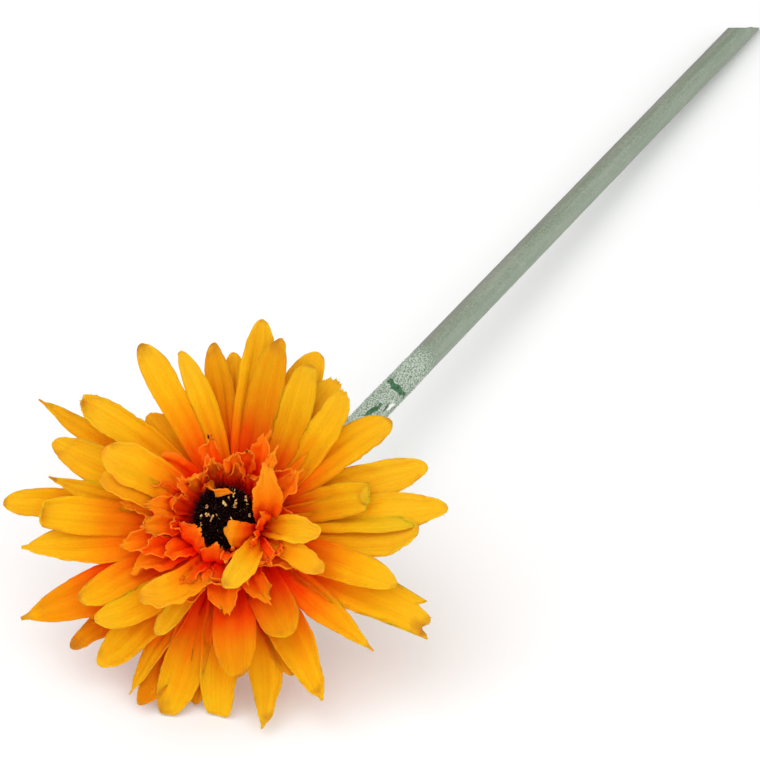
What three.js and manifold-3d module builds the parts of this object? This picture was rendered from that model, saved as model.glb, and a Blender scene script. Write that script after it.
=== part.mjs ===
// A cut gerbera daisy with a bent neck, lying on a flat surface. Millimetres, +Z up.
// The straight stem runs along +X and ends in a slanting cut. The bloom's face looks up and back
// along -X. The lowest petal tips and the cut end of the stem touch the surface at Z = 0, and the
// origin is under the middle of the whole flower.

import * as THREE from 'three';
import { mergeVertices } from 'three/addons/utils/BufferGeometryUtils.js';
import Module from 'manifold-3d';

const wasm = await Module();
wasm.setup();

// Where the bloom is held: the middle of its face, and the way it looks
const faceCentre = new THREE.Vector3(-164.6, 1, 39.6);
const faceRise = 46.3; // degrees that the bloom's axis points above level
const faceTurn = 13.3; // degrees that the axis turns away from -X
const faceSpin = 9.1; // degrees that the bearings below are turned about the axis

// Stem
const stemRadius = 3.5;
const stemSides = 12;
const neckTop = 15.4; // depth below the face where the stem ends in its socket
const neckBend = 18; // depth where the neck leaves the bloom's axis
const neckCorner = 30; // depth where the axis and the straight stem would meet
const stemLength = 340.3; // from that corner to the tip of the slanting cut
const stemFall = 2.48; // degrees that the stem slopes down to the surface
const cutLean = 27.5; // degrees between the cut face's normal and the stem
const cutTurn = 26; // degrees that the cut face is turned about Z

// Layers of the bloom, as heights along its axis above the face's centre
const seat = 0.3; // gap between pieces that touch
const rayPlate = { bottom: -9.5, top: -6, radius: 10.5 };
const innerPlate = { bottom: -5.7, top: -4.4, radius: 10.8 };
const layerSlope = 0.42; // rise per millimetre of the gap between rays and inner petals
const layerGap = 0.75; // clearance that each layer keeps from the middle of that gap

// Blades
const petalThickness = 0.7;
const bractThickness = 0.8;
const sliver = 0.08; // detail finer than this, left where blades cross, is smoothed away
const rayRoot = { radius: 7, height: -7.6 };
const innerRoot = { radius: 8.7, height: -4.9 };

// Rays, anticlockwise round the face. Bearing at the root and at the tip, reach, width, height of
// the tip, arch, roll and the shape of the end
const rays = [
  [359, 359, 54, 9.4, 2, 2, 0, 'round'],
  [13, 11.5, 50, 9.4, 0, 1, 8, 'round'],
  [25, 29, 45.5, 9.6, 1, 2, -10, 'round'],
  [29, 43, 42, 8, 5, 2, 12, 'frayed'],
  [46, 51, 42, 9, -1, 1, -8, 'frayed'],
  [46, 59.5, 41, 8.6, 7, 2, 10, 'round'],
  [60, 61, 45.6, 10, -3, 0, 0, 'round'],
  [69, 71, 43.2, 8.6, 7, 2, -12, 'round'],
  [77, 78, 48.7, 8.2, 2, 1, 10, 'round'],
  [86, 88, 41, 6.4, -4, 0, 0, 'round'],
  [89, 95, 43.6, 6.6, -1, 1, -16, 'round'],
  [95, 104, 40.4, 5.8, 6, 2, 12, 'round'],
  [110, 116, 47.2, 7.6, 3, 2, -8, 'round'],
  [125, 126, 32.5, 8, -3, 0, 0, 'round'],
  [132, 141, 46.6, 8.4, 2, 2, 10, 'frayed'],
  [146, 146.5, 54, 6.6, -4, 1, 0, 'point'],
  [156, 155.5, 46, 9.6, 0, 1, -6, 'round'],
  [170, 166.5, 43, 6.2, -1, 2, 14, 'point'],
  [173, 173, 56, 8, -4, 0, 0, 'round'],
  [180, 178, 47, 9, 4, 2, -10, 'round'],
  [193, 187, 48, 11.4, 0, 2, 8, 'point'],
  [213, 205, 53, 11.6, -2, 1, -8, 'point'],
  [210, 212, 41, 8.4, 2, 2, 10, 'round'],
  [219, 218, 48, 7, -7, 0, 0, 'round'],
  [236, 221, 40.5, 8.4, 4, 2, -10, 'round'],
  [233, 229.5, 46.8, 10, -4, 1, 0, 'round'],
  [242, 242, 33.5, 6, 2, 1, 0, 'round'],
  [241, 240, 46, 6, -6, 0, 0, 'point'],
  [246, 244.5, 49.6, 7.2, -9.6, 0, 0, 'round'],
  [253, 252, 48.6, 10.4, -9.4, 1, 0, 'round'],
  [259, 259, 44, 6, -9.5, 0, 0, 'round'],
  [276, 276, 39.5, 10.4, 2, 2, 0, 'round'],
  [267, 267, 48, 9.8, -8.9, 1, 0, 'round'],
  [293, 280, 51.6, 9.8, -8.8, 1, 0, 'point'],
  [292, 293, 41.5, 7, -7, 0, 0, 'round'],
  [300, 298, 51, 10, -4, 1, 6, 'point'],
  [300, 298, 35.5, 10.4, 3, 2, 0, 'round'],
  [316, 317, 47, 7.6, 0, 1, 0, 'point'],
  [328, 331.5, 55.6, 10.8, 0, 1, 0, 'torn'],
  [335, 335.5, 45.5, 8.8, 5, 2, -8, 'round'],
  [344, 353, 49.4, 10.6, 0, 1, -8, 'round'],
  [7, 4, 39, 8.6, 5, 2, 0, 'round'],
];

// Inner petals. Bearing at the root, then bearing, reach and height of the bend and of the tip
const innerPetals = [
  { root: 345, bend: [344, 17, 7], tip: [343, 25.5, 8], width: 7.2, roll: 0 },
  { root: 334, bend: [330, 19, 8], tip: [328, 30, 6], width: 5.6, roll: 0 },
  { root: 333, bend: [302, 17, 15], tip: [281, 18.5, 11], width: 6.2, turn: -100, roll: 0 },
  { root: 340, bend: [301, 10.8, 13.5], tip: [277, 5.6, 5.2], width: 7.2, roll: 0 },
  { root: 352, bend: [16, 13.2, 12], tip: [40, 15.4, 12], width: 7.4, turn: 100, roll: 0 },
  { root: 22, bend: [28, 14, 8], tip: [40, 18.6, 12], width: 4.6, roll: 20 },
  { root: 9, bend: [13, 15.5, 6], tip: [21, 20.8, 8], width: 6, roll: -10 },
  { root: 98, bend: [98, 11.5, 3], tip: [97, 12.6, 10], width: 5.6, roll: 0 },
  { root: 76, bend: [74, 11.5, 4], tip: [72, 13, 10], width: 5, roll: 30 },
  { root: 126, bend: [125, 11, 3], tip: [122, 10.2, 9], width: 5.2, roll: 0 },
  { root: 171, bend: [172, 13, 4], tip: [173, 17, 6], width: 6, roll: 10 },
  { root: 189, bend: [189, 13, 4], tip: [190, 18, 6], width: 5.6, roll: -10 },
  { root: 216, bend: [221, 14.2, 4.4], tip: [228, 5.9, 7.6], width: 9.4, roll: 0 },
  { root: 258, bend: [260, 15, 2.6], tip: [264, 7.9, 6.4], width: 8.4, roll: 0 },
  { root: 104, bend: [105, 7.7, 7.5], tip: [106, 5.9, 5.9], width: 8, roll: 0 },
  { root: 268, bend: [268, 15, 1.5], tip: [268, 19.5, 6], width: 8, roll: 0 },
  { root: 222, bend: [218, 13, 2], tip: [219, 17, 5], width: 6, roll: 0 },
  { root: 318, bend: [316, 13, 3], tip: [314, 19.6, 6], width: 6, roll: 15 },
  { root: 303, bend: [304, 13, 3], tip: [307, 18, 6], width: 5.4, roll: -20 },
  { root: 246, bend: [262, 22, 12], tip: [226, 27, 8.5], width: 9.4, roll: 0 },
  { root: 149, bend: [150, 18, 9], tip: [152, 30.8, 9], width: 10, roll: 0 },
  { root: 164, bend: [164, 18, 7], tip: [163, 29.6, 7.5], width: 7.4, roll: 0 },
];

// Short wavy petals that fill between them, set out by rule in three rings
const fillerRings = [
  { count: 10, reach: 12, spread: 2.5, height: 7, width: 5, start: 294, span: 280 },
  { count: 13, reach: 19.5, spread: 4, height: 4.5, width: 5.6, start: 20, span: 360 },
  { count: 7, reach: 24.5, spread: 4, height: 3, width: 7, start: 172, span: 172 },
];
const fillerSeed = 11;

// Dark disc: a low dome covered in short blunt filaments
const discRadius = 7;
const discBase = innerPlate.top + seat;
const discShoulder = 3; // height of the dome's upright side
const discCrown = 3; // further rise of its rounded top
const filamentCount = 40;
const filamentLength = 1.8;
const filamentWidth = 1.2;
const discClearance = 7.9; // no inner petal comes closer to the axis beside the disc
const discHeadroom = 4.5; // above this height a petal may lean over the disc

// Green cup behind the petals, with two rings of pointed bracts
const cup = { top: rayPlate.bottom - seat, bottom: -20, lip: 11.6, neck: 5.2 };
const bractRings = [
  { count: 13, root: [8.2, -14.6], bend: [13, -13.4], tip: [18.2, -10.9], width: 5, start: 0 },
  { count: 11, root: [5.6, -17.6], bend: [9.6, -16.6], tip: [13.8, -14.1], width: 4.8, start: 10 },
];

const radians = THREE.MathUtils.degToRad;
const up = new THREE.Vector3(0, 0, 1);

// Repeatable random numbers from 0 to 1
function randomFrom(seed) {
  let state = seed;
  return () => {
    state = (state * 16807) % 2147483647;
    return state / 2147483647;
  };
}

// A point of the bloom's own frame from its bearing, distance from the axis and height
function polar(bearing, radius, height) {
  const angle = radians(bearing);
  return new THREE.Vector3(radius * Math.cos(angle), radius * Math.sin(angle), height);
}

// The frame of the bloom: bearings turn about its Z, which is the way the face looks
function bloomMatrix() {
  const turn = radians(faceTurn);
  const rise = radians(faceRise);
  const spin = radians(faceSpin);
  const axis = new THREE.Vector3(
    -Math.cos(rise) * Math.cos(turn), -Math.cos(rise) * Math.sin(turn), Math.sin(rise));
  const level = new THREE.Vector3(Math.sin(turn), -Math.cos(turn), 0);
  const zeroBearing = level.applyAxisAngle(axis, spin);
  const quarterBearing = new THREE.Vector3().crossVectors(axis, zeroBearing);
  return new THREE.Matrix4().makeBasis(zeroBearing, quarterBearing, axis).setPosition(faceCentre);
}

function toSolid(geometry) {
  const bare = geometry.clone();
  bare.deleteAttribute('normal');
  bare.deleteAttribute('uv');
  const merged = mergeVertices(bare, 1e-4);
  return new wasm.Manifold(new wasm.Mesh({
    numProp: 3,
    vertProperties: new Float32Array(merged.attributes.position.array),
    triVerts: new Uint32Array(merged.index.array),
  }));
}

function toGeometry(solid) {
  const mesh = solid.getMesh();
  const geometry = new THREE.BufferGeometry();
  geometry.setAttribute('position', new THREE.BufferAttribute(mesh.vertProperties, 3));
  geometry.setIndex(new THREE.BufferAttribute(mesh.triVerts, 1));
  geometry.computeVertexNormals();
  return geometry;
}

// Joins closed shapes in one solid, without loose scraps or sealed hollows
function fuse(geometries) {
  const joined = wasm.Manifold.union(geometries.map(toSolid)).simplify(sliver);
  const pieces = joined.decompose();
  return pieces.reduce((best, piece) => (piece.volume() > best.volume() ? piece : best));
}

// Distance that never quite reaches zero, to press a layer flat instead of cutting it
function softly(distance) {
  const rounding = 0.3;
  return distance / 2 + Math.sqrt(distance * distance / 4 + rounding * rounding);
}

function layerHeight(point) {
  const radius = Math.hypot(point.x, point.y);
  const middle = (rayPlate.top + innerPlate.bottom) / 2;
  return middle + layerSlope * Math.max(0, radius - innerPlate.radius);
}

function keepBelowLayer(point) {
  const limit = layerHeight(point) - layerGap;
  point.z = limit - softly(limit - point.z);
}

function keepAboveLayer(point) {
  const limit = layerHeight(point) + layerGap;
  point.z = limit + softly(point.z - limit);
  const radius = Math.hypot(point.x, point.y);
  if (point.z < discHeadroom && radius < discClearance) {
    point.x *= discClearance / radius;
    point.y *= discClearance / radius;
  }
}

// Half width of a blade along its length, as a share of its greatest
function petalOutline(along) {
  const widest = 0.68;
  const rootShare = 0.46;
  if (along < widest) {
    return rootShare + (1 - rootShare) * Math.sin(along / widest * Math.PI / 2);
  }
  const past = (along - widest) / (1 - widest);
  return Math.sqrt(Math.max(0, 1 - past * past * 0.94));
}

function pointedOutline(along) {
  const widest = 0.55;
  const rootShare = 0.5;
  if (along < widest) {
    return rootShare + (1 - rootShare) * Math.sin(along / widest * Math.PI / 2);
  }
  const past = (along - widest) / (1 - widest);
  return Math.cos(past * Math.PI / 2) ** 0.75 * 0.9 + 0.1;
}

function tornOutline(along) {
  const endShare = 0.86;
  return Math.max(petalOutline(along), along > 0.7 ? endShare : 0);
}

// A thin closed blade along a spine from root to tip. Its rows lie across the spine, and its two
// faces are split into the same triangles.
function blade({ root, bend, tip, width, turn = 0, roll = 0, cupping = 0.25, wave = 0, teeth = null,
  rowsAt, columnsAt, outline, thickness, keepClear = null }) {
  const spine = new THREE.QuadraticBezierCurve3(root, bend, tip);
  let heading = spine.getTangent(0);
  const side = new THREE.Vector3(-root.y, root.x, 0);
  side.addScaledVector(heading, -side.dot(heading)).normalize();
  side.applyAxisAngle(heading, radians(turn));
  const middle = rowsAt.map((along, row) => {
    const centre = spine.getPoint(along);
    const nextHeading = spine.getTangent(along);
    side.applyQuaternion(new THREE.Quaternion().setFromUnitVectors(heading, nextHeading));
    heading = nextHeading;
    const across = side.clone().applyAxisAngle(heading, radians(roll) * along);
    const normal = new THREE.Vector3().crossVectors(heading, across);
    const half = width / 2 * outline(along);
    return columnsAt.map((share, column) => {
      const point = centre.clone().addScaledVector(across, share * half);
      point.addScaledVector(normal, cupping * half * share * share);
      point.addScaledVector(normal, wave * share * (row % 2 ? 1 : -1) * along);
      if (teeth && row === rowsAt.length - 1) {
        point.addScaledVector(heading, teeth[column]);
      }
      if (keepClear) {
        keepClear(point);
      }
      return point;
    });
  });
  return thicken(middle, thickness);
}

// Closes a sheet of points into a solid of even thickness
function thicken(middle, thickness) {
  const rows = middle.length;
  const columns = middle[0].length;
  const positions = [];
  for (const face of [1, -1]) {
    for (let row = 0; row < rows; row++) {
      for (let column = 0; column < columns; column++) {
        const before = middle[Math.max(row - 1, 0)][column];
        const after = middle[Math.min(row + 1, rows - 1)][column];
        const left = middle[row][Math.max(column - 1, 0)];
        const right = middle[row][Math.min(column + 1, columns - 1)];
        const alongSheet = new THREE.Vector3().subVectors(after, before);
        const acrossSheet = new THREE.Vector3().subVectors(right, left);
        const normal = alongSheet.cross(acrossSheet).normalize();
        const point = middle[row][column].clone().addScaledVector(normal, face * thickness / 2);
        positions.push(point.x, point.y, point.z);
      }
    }
  }
  const index = [];
  const faceSize = rows * columns;
  const at = (row, column) => row * columns + column;
  for (let row = 0; row < rows - 1; row++) {
    for (let column = 0; column < columns - 1; column++) {
      const corners = [at(row, column), at(row + 1, column), at(row + 1, column + 1), at(row, column + 1)];
      const [a, b, c, d] = corners;
      index.push(a, b, c, a, c, d);
      index.push(a + faceSize, c + faceSize, b + faceSize, a + faceSize, d + faceSize, c + faceSize);
    }
  }
  const rim = [];
  for (let row = 0; row < rows - 1; row++) rim.push(at(row, 0));
  for (let column = 0; column < columns - 1; column++) rim.push(at(rows - 1, column));
  for (let row = rows - 1; row > 0; row--) rim.push(at(row, columns - 1));
  for (let column = columns - 1; column > 0; column--) rim.push(at(0, column));
  rim.forEach((here, place) => {
    const next = rim[(place + 1) % rim.length];
    index.push(here, here + faceSize, next + faceSize, here, next + faceSize, next);
  });
  const geometry = new THREE.BufferGeometry();
  geometry.setAttribute('position', new THREE.Float32BufferAttribute(positions, 3));
  geometry.setIndex(index);
  return geometry;
}

// A solid of revolution about the bloom's axis, from pairs of radius and height
function turned(profile, sides) {
  const points = profile.map(([radius, height]) => new THREE.Vector2(radius, height));
  return new THREE.LatheGeometry(points, sides).rotateX(Math.PI / 2);
}

function plate({ bottom, top, radius }) {
  return turned([[0, bottom], [radius, bottom], [radius, top], [0, top]], 26);
}

// Everything below the surface, to cut flat spots where the flower rests
function ground() {
  const depth = 40;
  const block = new THREE.BoxGeometry(600, 300, depth);
  return block.translate(0, 0, -depth / 2);
}

const rayRows = [0, 0.24, 0.46, 0.66, 0.82, 0.93, 1];
const innerRows = [0, 0.34, 0.64, 0.88, 1];
const rayColumns = [-1, -0.38, 0.38, 1];
const fillerRows = [0, 0.4, 0.76, 1];
const innerColumns = [-1, 0, 1];
const ends = {
  round: { outline: petalOutline, teeth: null },
  point: { outline: pointedOutline, teeth: null },
  frayed: { outline: petalOutline, teeth: [-0.9, 0.7, -0.5, 0.6] },
  torn: { outline: tornOutline, teeth: [1.6, 0.6, -2.2, -1.2] },
};

function makeRay([rootBearing, tipBearing, reach, width, height, arch, roll, end]) {
  const bendReach = rayRoot.radius + 0.5 * (reach - rayRoot.radius);
  const bendHeight = (rayRoot.height + height) / 2 + 2 * arch;
  return blade({
    root: polar(rootBearing, rayRoot.radius, rayRoot.height),
    bend: polar(rootBearing, bendReach, bendHeight),
    tip: polar(tipBearing, reach, height),
    width,
    roll,
    rowsAt: rayRows,
    columnsAt: rayColumns,
    ...ends[end],
    thickness: petalThickness,
    keepClear: keepBelowLayer,
  });
}

function makeInnerPetal({ root, bend, tip, width, turn, roll }) {
  return blade({
    root: polar(root, innerRoot.radius, innerRoot.height),
    bend: polar(...bend),
    tip: polar(...tip),
    width,
    turn,
    roll,
    cupping: 0.35,
    rowsAt: innerRows,
    columnsAt: innerColumns,
    outline: petalOutline,
    thickness: petalThickness,
    keepClear: keepAboveLayer,
  });
}

function fillerPetals() {
  const random = randomFrom(fillerSeed);
  return fillerRings.flatMap(({ count, reach, spread, height, width, start, span }) => (
    Array.from({ length: count }, (_, place) => {
      const bearing = start + (place + (random() - 0.5) * 0.5) * span / count;
      const tipReach = reach + (random() - 0.5) * spread;
      const tipHeight = height + (random() - 0.5) * 2.5;
      return blade({
        root: polar(bearing, innerRoot.radius, innerRoot.height),
        bend: polar(bearing, (innerRoot.radius + tipReach) / 2 + 1, height * 0.4),
        tip: polar(bearing + (random() - 0.5) * 16, tipReach, tipHeight),
        width: width * (0.85 + 0.3 * random()),
        roll: (random() - 0.5) * 50,
        cupping: 0.5,
        wave: 0.3,
        rowsAt: fillerRows,
        columnsAt: innerColumns,
        outline: petalOutline,
        thickness: petalThickness,
        keepClear: keepAboveLayer,
      });
    })
  ));
}

function makeDisc() {
  const shoulder = discBase + discShoulder;
  const dome = [[0, discBase], [discRadius, discBase]];
  for (let step = 0; step <= 4; step++) {
    const angle = step / 4 * Math.PI / 2;
    dome.push([discRadius * Math.cos(angle), shoulder + discCrown * Math.sin(angle)]);
  }
  dome[dome.length - 1][0] = 0;
  const parts = [turned(dome, 20)];
  const goldenAngle = 137.508;
  for (let place = 0; place < filamentCount; place++) {
    const share = Math.sqrt((place + 0.5) / filamentCount);
    const distance = share * (discRadius - 0.55);
    const lift = Math.sqrt(1 - (distance / discRadius) ** 2);
    const foot = polar(place * goldenAngle, distance, shoulder + discCrown * lift);
    const lean = polar(place * goldenAngle, share * 0.3, 1).normalize();
    const peg = new THREE.CylinderGeometry(
      filamentWidth * 0.36, filamentWidth / 2, filamentLength * 2, 4, 1);
    peg.rotateX(Math.PI / 2);
    peg.applyQuaternion(new THREE.Quaternion().setFromUnitVectors(up, lean));
    peg.translate(foot.x, foot.y, foot.z);
    parts.push(peg);
  }
  return fuse(parts);
}

function makeCup() {
  const socketRadius = stemRadius + seat;
  const socketEnd = -neckTop + seat;
  const shell = turned([
    [0, socketEnd], [socketRadius, socketEnd], [socketRadius, cup.bottom], [cup.neck, cup.bottom],
    [6.4, -18.9], [8.6, -16], [10.6, -12.8], [cup.lip, cup.top - 0.8], [cup.lip, cup.top], [0, cup.top],
  ], 22);
  const bracts = bractRings.flatMap(({ count, root, bend, tip, width, start }) => (
    Array.from({ length: count }, (_, place) => {
      const bearing = start + place * 360 / count;
      return blade({
        root: polar(bearing, ...root),
        bend: polar(bearing, ...bend),
        tip: polar(bearing, ...tip),
        width,
        rowsAt: [0, 0.5, 1],
        columnsAt: [-1, 0, 1],
        outline: pointedOutline,
        thickness: bractThickness,
      });
    })
  ));
  return fuse([shell, ...bracts]);
}

// The stem leaves its socket along the bloom's axis, bends, and runs straight to the cut
function makeStem(matrix) {
  const onAxis = (depth) => new THREE.Vector3(0, 0, -depth).applyMatrix4(matrix);
  const corner = onAxis(neckCorner);
  const heading = new THREE.Vector3(1, 0, 0).applyAxisAngle(new THREE.Vector3(0, 1, 0), radians(stemFall));
  const bendEnd = corner.clone().addScaledVector(heading, neckCorner - neckBend);
  const end = corner.clone().addScaledVector(heading, stemLength);
  const path = new THREE.CurvePath();
  path.add(new THREE.LineCurve3(onAxis(neckTop), onAxis(neckBend)));
  path.add(new THREE.QuadraticBezierCurve3(onAxis(neckBend), corner, bendEnd));
  path.add(new THREE.LineCurve3(bendEnd, end));
  const section = new THREE.Shape();
  for (let place = 0; place < stemSides; place++) {
    const angle = place / stemSides * 2 * Math.PI;
    const corners = [stemRadius * Math.cos(angle), stemRadius * Math.sin(angle)];
    if (place === 0) section.moveTo(...corners);
    else section.lineTo(...corners);
  }
  const rod = new THREE.ExtrudeGeometry(section, { steps: 56, extrudePath: path });
  const cutSize = 60;
  const cutBlock = new THREE.BoxGeometry(cutSize, cutSize, cutSize).translate(0, 0, cutSize / 2);
  const cutNormal = new THREE.Vector3(
    Math.sin(radians(cutLean)) * Math.cos(radians(cutTurn)),
    Math.sin(radians(cutLean)) * Math.sin(radians(cutTurn)),
    Math.cos(radians(cutLean)));
  cutBlock.applyQuaternion(new THREE.Quaternion().setFromUnitVectors(up, cutNormal));
  const toe = end.clone().addScaledVector(heading, -8);
  cutBlock.translate(toe.x, toe.y, toe.z);
  return toSolid(rod).subtract(toSolid(cutBlock)).subtract(toSolid(ground())).simplify(sliver);
}

function namedMesh(name, solid, finish) {
  const mesh = new THREE.Mesh(toGeometry(solid), new THREE.MeshStandardMaterial(finish));
  mesh.name = name;
  return mesh;
}

const matrix = bloomMatrix();
const groundInBloom = toSolid(ground().applyMatrix4(matrix.clone().invert()));
const rayLayer = fuse([plate(rayPlate), ...rays.map(makeRay)]).subtract(groundInBloom);
const innerLayer = fuse([plate(innerPlate), ...innerPetals.map(makeInnerPetal), ...fillerPetals()]);

const bloom = new THREE.Group();
bloom.applyMatrix4(matrix);
bloom.add(
  namedMesh('petals_outer', rayLayer, { color: 0xf6a011, roughness: 0.75, metalness: 0 }),
  namedMesh('petals_inner', innerLayer, { color: 0xf27a0c, roughness: 0.75, metalness: 0 }),
  namedMesh('disc', makeDisc(), { color: 0x1d130e, roughness: 0.9, metalness: 0 }),
  namedMesh('calyx', makeCup(), { color: 0x7d9467, roughness: 0.8, metalness: 0 }),
);

const flower = new THREE.Group();
flower.add(bloom, namedMesh('stem', makeStem(matrix), { color: 0x93a08d, roughness: 0.85, metalness: 0 }));

export default flower;
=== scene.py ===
import math
import random
from collections import Counter
import bpy
from mathutils import Matrix, Quaternion, Vector, noise


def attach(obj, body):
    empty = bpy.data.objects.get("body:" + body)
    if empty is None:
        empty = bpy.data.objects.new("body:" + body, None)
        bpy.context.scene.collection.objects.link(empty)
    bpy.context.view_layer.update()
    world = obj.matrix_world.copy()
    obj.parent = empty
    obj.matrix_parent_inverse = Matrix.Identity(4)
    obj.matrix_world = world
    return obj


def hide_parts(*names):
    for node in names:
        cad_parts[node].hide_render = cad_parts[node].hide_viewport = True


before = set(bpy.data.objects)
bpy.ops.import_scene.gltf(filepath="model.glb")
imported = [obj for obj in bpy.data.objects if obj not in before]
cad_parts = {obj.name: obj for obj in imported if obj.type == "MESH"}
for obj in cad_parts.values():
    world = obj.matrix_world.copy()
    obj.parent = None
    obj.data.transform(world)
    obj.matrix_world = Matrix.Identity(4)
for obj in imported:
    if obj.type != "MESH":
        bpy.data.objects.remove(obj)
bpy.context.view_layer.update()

mm = 0.001
scene = bpy.context.scene

cameraSetup = {"aim": (-0.1328, -0.0249, 0.0669), "bearing": -64.22, "rise": 32.38, "distance": 1.0,
               "lens": 198.95, "sensor": 36.0, "nearest": 0.01}


def link(name, data):
    thing = bpy.data.objects.new(name, data)
    scene.collection.objects.link(thing)
    return thing


def placeCamera(setup):
    bearing = math.radians(setup["bearing"])
    rise = math.radians(setup["rise"])
    back = Vector((math.sin(bearing) * math.cos(rise), -math.cos(bearing) * math.cos(rise), math.sin(rise)))
    data = bpy.data.cameras.new("camera")
    data.lens = setup["lens"]
    data.sensor_width = setup["sensor"]
    data.clip_start = setup["nearest"]
    camera = link("camera", data)
    camera.location = Vector(setup["aim"]) + back * setup["distance"]
    camera.rotation_euler = back.to_track_quat("Z", "Y").to_euler()
    scene.camera = camera


placeCamera(cameraSetup)
print("camera placed")

# The bloom's own frame, in millimetres: bearings turn about the way its face looks
bloomPose = {"centre": (-164.6, 1, 39.6), "rise": 46.3, "turn": 13.3, "spin": 9.1}


def bloomMatrix(pose):
    rise = math.radians(pose["rise"])
    turn = math.radians(pose["turn"])
    axis = Vector((-math.cos(rise) * math.cos(turn), -math.cos(rise) * math.sin(turn), math.sin(rise)))
    level = Vector((math.sin(turn), -math.cos(turn), 0))
    zeroBearing = Quaternion(axis, math.radians(pose["spin"])) @ level
    turned = Matrix((zeroBearing, axis.cross(zeroBearing), axis)).transposed().to_4x4()
    return Matrix.Translation(Vector(pose["centre"])) @ turned


bloomToPart = bloomMatrix(bloomPose)
bloomAxis = (bloomToPart.to_3x3() @ Vector((0, 0, 1))).normalized()


def polar(bearing, radius, height):
    angle = math.radians(bearing)
    return Vector((radius * math.cos(angle), radius * math.sin(angle), height))


def toMetres(point):
    return (bloomToPart @ point) * mm


def lengthsIn(setup):
    return {label: length * mm for label, length in setup["lengths"].items()}


def curveAt(start, bend, end, t):
    return start * (1 - t) ** 2 + bend * (2 * t * (1 - t)) + end * t ** 2


def smooth(low, high, value):
    share = min(1.0, max(0.0, (value - low) / (high - low)))
    return share * share * (3 - 2 * share)


def feed(socket, value):
    # a node stands for its first output
    if isinstance(value, bpy.types.Node):
        value = value.outputs[0]
    if isinstance(value, bpy.types.NodeSocket):
        socket.id_data.links.new(value, socket)
    elif isinstance(value, tuple) and socket.type == "RGBA":
        socket.default_value = (*value, 1)
    elif value is not None:
        socket.default_value = value


def addNode(tree, kind, inputs=None, **settings):
    node = tree.nodes.new(kind)
    for name, value in settings.items():
        setattr(node, name, value)
    for key, value in (inputs or {}).items():
        feed(node.inputs[key], value)
    return node


def build(kind, inputs, **settings):
    # in the tree of the first node or socket among its inputs
    wired = (value for value in inputs.values() if isinstance(value, (bpy.types.Node, bpy.types.NodeSocket)))
    return addNode(next(wired).id_data, kind, inputs, **settings)


def spreadNodes(tree, width=200, height=180):
    # each node stands at least a column to the left of what it feeds
    column = dict.fromkeys(tree.nodes.keys(), 0)
    for node in tree.nodes:
        for wire in tree.links:
            column[wire.from_node.name] = max(column[wire.from_node.name], column[wire.to_node.name] + 1)
    filled = Counter()
    for node in tree.nodes:
        across = column[node.name]
        node.location = (-width * across, -height * filled[across])
        filled[across] += 1


def doMath(operation, first, second=0.0):
    return build("ShaderNodeMath", {0: first, 1: second}, operation=operation)


def plus(first, second):
    return doMath("ADD", first, second)


def minus(first, second):
    return doMath("SUBTRACT", first, second)


def times(first, *others):
    for other in others:
        first = doMath("MULTIPLY", first, other)
    return first


def vectorMath(operation, first, second=None, scale=None):
    inputs = {0: first, 1: second} if scale is None else {0: first, "Scale": scale}
    return build("ShaderNodeVectorMath", inputs, operation=operation)


def dot(first, second):
    return vectorMath("DOT_PRODUCT", first, second).outputs["Value"]


def combine(x, y, z):
    return build("ShaderNodeCombineXYZ", {0: x, 1: y, 2: z})


def ramp(value, low, high):
    return build("ShaderNodeMapRange", {"Value": value, "From Min": low, "From Max": high},
                 interpolation_type="SMOOTHSTEP")


def colourRamp(value, stops):
    node = build("ShaderNodeValToRGB", {"Fac": value})
    elements = node.color_ramp.elements
    while len(elements) < len(stops):
        elements.new(0.5)
    for element, (share, colour) in zip(elements, stops):
        element.position = share
        element.color = (*colour, 1)
    return node


def mix(share, first, second, mode="MIX"):
    inputs = {0: share, 6: first, 7: second}
    return build("ShaderNodeMix", inputs, data_type="RGBA", blend_type=mode).outputs[2]


def noiseValue(where, scale, detail=2.0, roughness=0.5):
    inputs = {"Vector": where, "Scale": scale, "Detail": detail, "Roughness": roughness}
    return build("ShaderNodeTexNoise", inputs)


def sway(where, scale, detail, reach):
    # noise about nothing, half its reach to either side
    return times(minus(noiseValue(where, scale, detail), 0.5), reach)


def newMaterial(name, **constants):
    material = bpy.data.materials.new(name)
    material.use_nodes = True
    tree = material.node_tree
    shader = tree.nodes["Principled BSDF"]
    for key, value in constants.items():
        feed(shader.inputs[key.replace("_", " ")], value)
    return material, tree, shader


def dress(shader, colour, height=None, strength=0.0, depth=0.0):
    feed(shader.inputs["Base Color"], colour)
    if height is not None:
        bump = build("ShaderNodeBump", {"Height": height, "Strength": strength, "Distance": depth})
        feed(shader.inputs["Normal"], bump)
    spreadNodes(shader.id_data)


def readAttribute(tree, name):
    return addNode(tree, "ShaderNodeAttribute", attribute_name=name).outputs["Fac"]


def objectPlace(tree):
    return addNode(tree, "ShaderNodeTexCoord").outputs["Object"]


def newGroup(name, family, inputs, outputs):
    tree = bpy.data.node_groups.new(name, family)
    for direction, sockets in (("INPUT", inputs), ("OUTPUT", outputs)):
        for label, kind in sockets.items():
            tree.interface.new_socket(label, in_out=direction, socket_type="NodeSocket" + kind)
    return tree, addNode(tree, "NodeGroupInput").outputs


def endGroup(outputs):
    tree = build("NodeGroupOutput", outputs).id_data
    spreadNodes(tree)
    return tree


def geometryTree(name, floats, vectors=(), integers=()):
    kinds = {"Geometry": "Geometry", **dict.fromkeys(floats, "Float"), **dict.fromkeys(vectors, "Vector"),
             **dict.fromkeys(integers, "Int"), "Material": "Material"}
    return newGroup(name, "GeometryNodeTree", kinds, {"Geometry": "Geometry"})


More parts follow.
